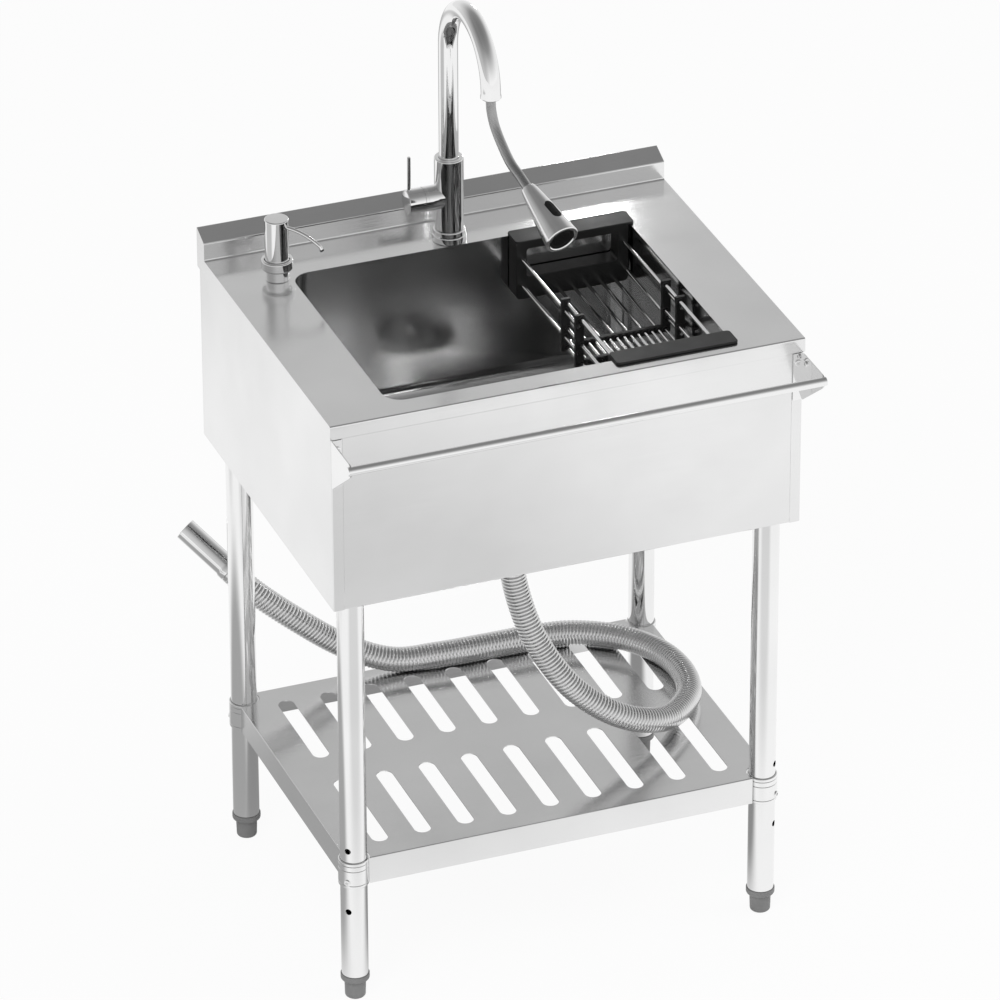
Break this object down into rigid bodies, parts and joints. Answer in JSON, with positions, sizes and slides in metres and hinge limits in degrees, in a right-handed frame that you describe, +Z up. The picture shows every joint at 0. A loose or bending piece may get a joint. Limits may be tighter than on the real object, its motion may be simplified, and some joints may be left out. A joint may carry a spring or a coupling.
{
  "type": "free-standing sink",
  "caption": "Free-standing steel sink on tube legs with a swivel pull-out spray tap, soap pump, telescopic dish rack, towel bar, slotted shelf and ribbed drain hose.",
  "frame": {"origin": "middle of the footprint, on the floor", "axes": "+X to the user's right, +Y to the backsplash, +Z up"},
  "size_m": [0.6097, 0.6316, 1.1575],
  "materials": {
    "brushed_steel": "brushed stainless sheet",
    "bowl_steel": "satin pressed stainless",
    "polished_steel": "polished stainless",
    "chrome": "polished plated",
    "satin_nickel": "satin",
    "black_plastic": "satin moulded",
    "grey_plastic": "matte moulded",
    "black_rubber": "matte",
    "bottle_plastic": "translucent white",
    "grey_hose": "smooth sleeved",
    "ribbed_hose": "metallised corrugated"
  },
  "bodies": {
    "stand": {"deck": "brushed_steel", "left_skirt": "brushed_steel", "right_skirt": "brushed_steel", "front_skirt": "brushed_steel", "rear_skirt": "brushed_steel", "shelf": "brushed_steel", "leg_socket_front_left": "brushed_steel", "leg_socket_front_right": "brushed_steel", "leg_socket_rear_left": "brushed_steel", "leg_socket_rear_right": "brushed_steel", "bowl": "bowl_steel", "leg_front_left": "polished_steel", "leg_front_right": "polished_steel", "leg_rear_left": "polished_steel", "leg_rear_right": "polished_steel", "shelf_collar_front_left": "polished_steel", "shelf_collar_front_right": "polished_steel", "shelf_collar_rear_left": "polished_steel", "shelf_collar_rear_right": "polished_steel", "towel_bar": "polished_steel", "towel_bracket_left": "polished_steel", "towel_bracket_right": "polished_steel", "drain_flange": "polished_steel", "faucet_base_ring": "chrome", "faucet_body": "chrome", "soap_collar": "chrome", "faucet_shank": "satin_nickel", "faucet_nut": "satin_nickel", "foot_insert_front_left": "grey_plastic", "foot_insert_front_right": "grey_plastic", "foot_insert_rear_left": "grey_plastic", "foot_insert_rear_right": "grey_plastic", "drain_nut": "grey_plastic", "soap_nut": "grey_plastic", "drain_gasket": "black_rubber", "soap_bottle": "bottle_plastic", "drain_hose": "ribbed_hose", "hose_cuff": "ribbed_hose"},
    "spout": {"faucet_spout": "chrome", "spray_hose": "grey_hose"},
    "spray": {"spray_head": "satin_nickel", "spray_face": "black_rubber"},
    "rocker": {"spray_button": "black_plastic"},
    "valve": {"valve_cartridge": "satin_nickel"},
    "handle": {"faucet_handle": "chrome", "handle_lever": "chrome"},
    "pump_stem": {"pump_stem": "grey_plastic"},
    "pump_head": {"pump_head": "chrome"},
    "strainer": {"strainer_basket": "polished_steel"},
    "rack_rear": {"rack_rear_frame": "black_plastic", "rack_rear_rods": "polished_steel", "rack_rear_slider": "black_plastic"},
    "rack_front": {"rack_front_frame": "black_plastic", "rack_front_rods": "polished_steel", "rack_front_slider": "black_plastic"},
    "foot_front_left": {"levelling_foot_front_left": "grey_plastic"},
    "foot_front_right": {"levelling_foot_front_right": "grey_plastic"},
    "foot_rear_left": {"levelling_foot_rear_left": "grey_plastic"},
    "foot_rear_right": {"levelling_foot_rear_right": "grey_plastic"}
  },
  "joints": [
    {"name": "spout_swivel", "type": "hinge", "parent": "stand", "child": "spout", "pos_m": [-0.003, 0.1905, 0.924], "axis": [0, 0, 1], "continuous": true},
    {"name": "spray_turn", "type": "hinge", "parent": "spout", "child": "spray", "pos_m": [0.016, -0.0245, 0.98], "axis": [0.1603, -0.9007, -0.4037], "continuous": true},
    {"name": "spray_rocker", "type": "hinge", "parent": "spray", "child": "rocker", "pos_m": [0.02774, -0.07466, 0.97446], "axis": [0.9573, 0.2416, -0.1589], "range_deg": [-4, 4], "stiffness_Nm_per_rad": 0.05},
    {"name": "handle_turn", "type": "hinge", "parent": "stand", "child": "valve", "pos_m": [-0.045, 0.1905, 0.872], "axis": [-1, 0, 0], "range_deg": [-45, 45]},
    {"name": "handle_tilt", "type": "hinge", "parent": "valve", "child": "handle", "pos_m": [-0.045, 0.1905, 0.872], "axis": [0, -1, 0], "range_deg": [0, 23]},
    {"name": "pump_press", "type": "slide", "parent": "stand", "child": "pump_stem", "axis": [0, 0, -1], "range_m": [0, 0.01], "stiffness_N_per_m": 400, "springref_m": -0.012},
    {"name": "pump_turn", "type": "hinge", "parent": "pump_stem", "child": "pump_head", "pos_m": [-0.232, 0.1695, 0.838], "axis": [0, 0, 1], "continuous": true},
    {"name": "strainer_lift", "type": "slide", "parent": "stand", "child": "strainer", "axis": [0, 0, 1], "range_m": [0, 0.05]},
    {"name": "rack_slide", "type": "slide", "parent": "stand", "child": "rack_rear", "axis": [1, 0, 0], "range_m": [-0.045, 0]},
    {"name": "rack_telescope", "type": "slide", "parent": "rack_rear", "child": "rack_front", "axis": [0, 1, 0], "range_m": [0, 0.095]},
    {"name": "foot_screw_front_left", "type": "slide", "parent": "stand", "child": "foot_front_left", "axis": [0, 0, -1], "range_m": [0, 0.02]},
    {"name": "foot_screw_front_right", "type": "slide", "parent": "stand", "child": "foot_front_right", "axis": [0, 0, -1], "range_m": [0, 0.02]},
    {"name": "foot_screw_rear_left", "type": "slide", "parent": "stand", "child": "foot_rear_left", "axis": [0, 0, -1], "range_m": [0, 0.02]},
    {"name": "foot_screw_rear_right", "type": "slide", "parent": "stand", "child": "foot_rear_right", "axis": [0, 0, -1], "range_m": [0, 0.02]}
  ]
}
